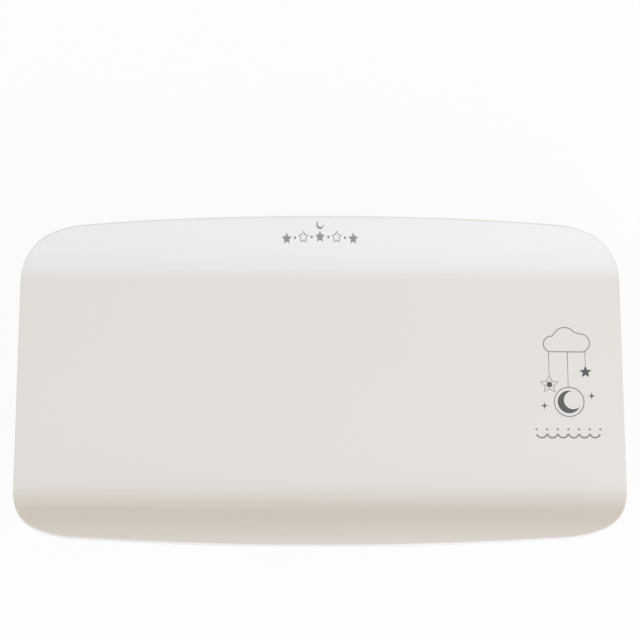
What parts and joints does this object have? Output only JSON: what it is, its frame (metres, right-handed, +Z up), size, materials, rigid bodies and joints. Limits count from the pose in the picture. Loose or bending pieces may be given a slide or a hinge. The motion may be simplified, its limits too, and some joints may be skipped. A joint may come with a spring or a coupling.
{
  "type": "digital baby weighing scale",
  "caption": "Electronic baby scale: a long shallow trough tray with lips along both long edges, on a low base with a sloped display, press keys and a battery bay underneath.",
  "frame": {"origin": "on the table, under the middle of the tray", "axes": "+X along the tray, +Z up, the display faces -Y"},
  "size_m": [0.55, 0.3, 0.0882],
  "materials": {
    "tray_plastic": "satin, warm white",
    "housing_plastic": "fine spark texture, warm white",
    "key_plastic": "satin, pale grey",
    "lens_plastic": "polished, dark grey",
    "window_clear": "polished, clear",
    "foot_rubber": "matt",
    "lcd": "polarised glass",
    "white_inner_plastic": "matt",
    "sleeve_nylon": "natural nylon, matt",
    "contact_rubber": "matt, layered",
    "board_laminate": "solder mask, green",
    "chip_plastic": "matt, black",
    "connector_plastic": "natural nylon",
    "steel_plate": "zinc plated",
    "screw_steel": "zinc plated",
    "cell_aluminium": "machined",
    "gauge_foil": "foil on film",
    "sealant": "soft, white",
    "battery_can": "sleeve, dark",
    "contact_nickel": "nickel plated",
    "lead_grey": "matt",
    "lead_black": "matt",
    "lead_red": "matt"
  },
  "bodies": {
    "base": {"load_cell": "cell_aluminium", "strain_gauges": "gauge_foil", "gauge_sealant": "sealant", "lower_spacer": "steel_plate", "lower_cell_bolts": "screw_steel", "chassis_plate": "steel_plate", "chassis_screws": "screw_steel", "corner_stops": "screw_steel", "stop_nuts": "screw_steel", "overload_screw": "screw_steel", "base_top": "housing_plastic", "base_bottom": "housing_plastic", "case_screws": "screw_steel", "foot_left_front": "foot_rubber", "foot_left_rear": "foot_rubber", "foot_right_front": "foot_rubber", "foot_right_rear": "foot_rubber", "display_lens": "lens_plastic", "display_window": "window_clear", "lcd_holder": "white_inner_plastic", "lcd_glass": "lcd", "light_guide": "white_inner_plastic", "backlight_leds": "white_inner_plastic", "contact_strips": "contact_rubber", "main_board": "board_laminate", "board_screws": "screw_steel", "processor_chip": "chip_plastic", "converter_chip": "chip_plastic", "small_parts": "chip_plastic", "cell_connector": "connector_plastic", "battery_connector": "connector_plastic", "key_switches": "chip_plastic", "batteries": "battery_can", "spring_contacts": "contact_nickel", "plate_contacts": "contact_nickel", "load_cell_cable": "lead_grey", "battery_lead_black": "lead_black", "battery_lead_red": "lead_red"},
    "platform": {"tray": "tray_plastic", "tray_sleeves": "sleeve_nylon", "tray_screws": "screw_steel", "tray_carrier": "steel_plate", "upper_spacer": "steel_plate", "upper_cell_bolts": "screw_steel"},
    "power_key": {"power_button": "key_plastic", "power_plunger": "chip_plastic"},
    "unit_key": {"unit_button": "key_plastic", "unit_plunger": "chip_plastic"},
    "hold_key": {"hold_button": "key_plastic", "hold_plunger": "chip_plastic"},
    "tare_key": {"tare_button": "key_plastic", "tare_plunger": "chip_plastic"},
    "door": {"battery_door": "housing_plastic"}
  },
  "joints": [
    {"name": "platform_load", "type": "slide", "parent": "base", "child": "platform", "axis": [0, 0, -1], "range_m": [-0.0001, 0.0008], "stiffness_N_per_m": 250000, "springref_m": -0.00004, "deforming": ["load_cell"]},
    {"name": "power_press", "type": "slide", "parent": "base", "child": "power_key", "axis": [0, 0.866, -0.5], "range_m": [0, 0.0008], "stiffness_N_per_m": 1500, "springref_m": -0.0004},
    {"name": "unit_press", "type": "slide", "parent": "base", "child": "unit_key", "axis": [0, 0.866, -0.5], "range_m": [0, 0.0008], "stiffness_N_per_m": 1500, "springref_m": -0.0004},
    {"name": "hold_press", "type": "slide", "parent": "base", "child": "hold_key", "axis": [0, 0.866, -0.5], "range_m": [0, 0.0008], "stiffness_N_per_m": 1500, "springref_m": -0.0004},
    {"name": "tare_press", "type": "slide", "parent": "base", "child": "tare_key", "axis": [0, 0.866, -0.5], "range_m": [0, 0.0008], "stiffness_N_per_m": 1500, "springref_m": -0.0004},
    {"name": "battery_door_hinge", "type": "hinge", "parent": "base", "child": "door", "pos_m": [-0.155, 0.0404, 0.0072], "axis": [1, 0, 0], "range_deg": [0, 85]}
  ]
}
